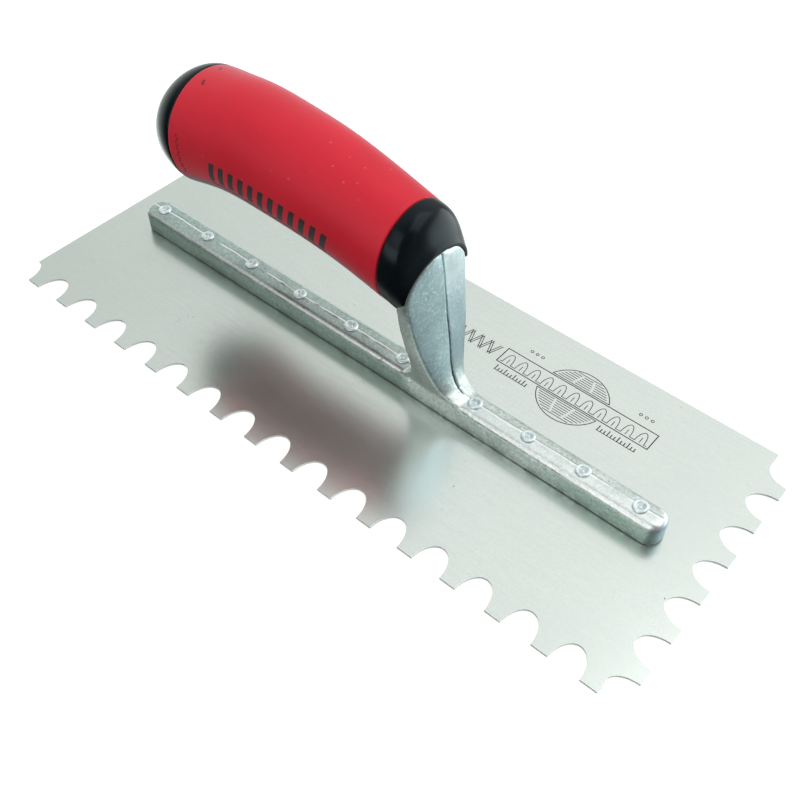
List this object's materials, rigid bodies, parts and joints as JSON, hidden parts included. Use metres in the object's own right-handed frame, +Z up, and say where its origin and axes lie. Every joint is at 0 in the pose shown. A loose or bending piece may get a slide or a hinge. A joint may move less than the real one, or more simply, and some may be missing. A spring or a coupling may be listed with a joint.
{
  "type": "notched trowel",
  "caption": "Notched trowel: thin steel blade with arched teeth along one long edge and one end, riveted under a cast bar whose shank carries a curved two-material handle.",
  "frame": {"origin": "middle of the blade's underside, which is the bottom centre of the whole tool's box", "axes": "+Z up from the blade's underside, +X along the blade towards the toothed short end, -Y towards the toothed long edge"},
  "size_m": [0.2794, 0.1142, 0.0908],
  "materials": {
    "blade_steel": "satin rolled sheet",
    "cast_aluminium": "as cast, tumbled",
    "rivet_steel": "bright zinc plate",
    "fastener_steel": "zinc plate",
    "black_plastic": "satin moulded",
    "red_rubber": "matte soft-touch"
  },
  "bodies": {
    "root": {"blade": "blade_steel", "mounting": "cast_aluminium", "rivet_1": "rivet_steel", "rivet_2": "rivet_steel", "rivet_3": "rivet_steel", "rivet_4": "rivet_steel", "rivet_5": "rivet_steel", "rivet_6": "rivet_steel", "rivet_7": "rivet_steel", "rivet_8": "rivet_steel", "rivet_9": "rivet_steel", "rivet_10": "rivet_steel", "handle_core": "black_plastic", "grip": "red_rubber", "tang_rod": "fastener_steel", "butt_washer": "fastener_steel", "butt_nut": "fastener_steel"}
  },
  "joints": []
}
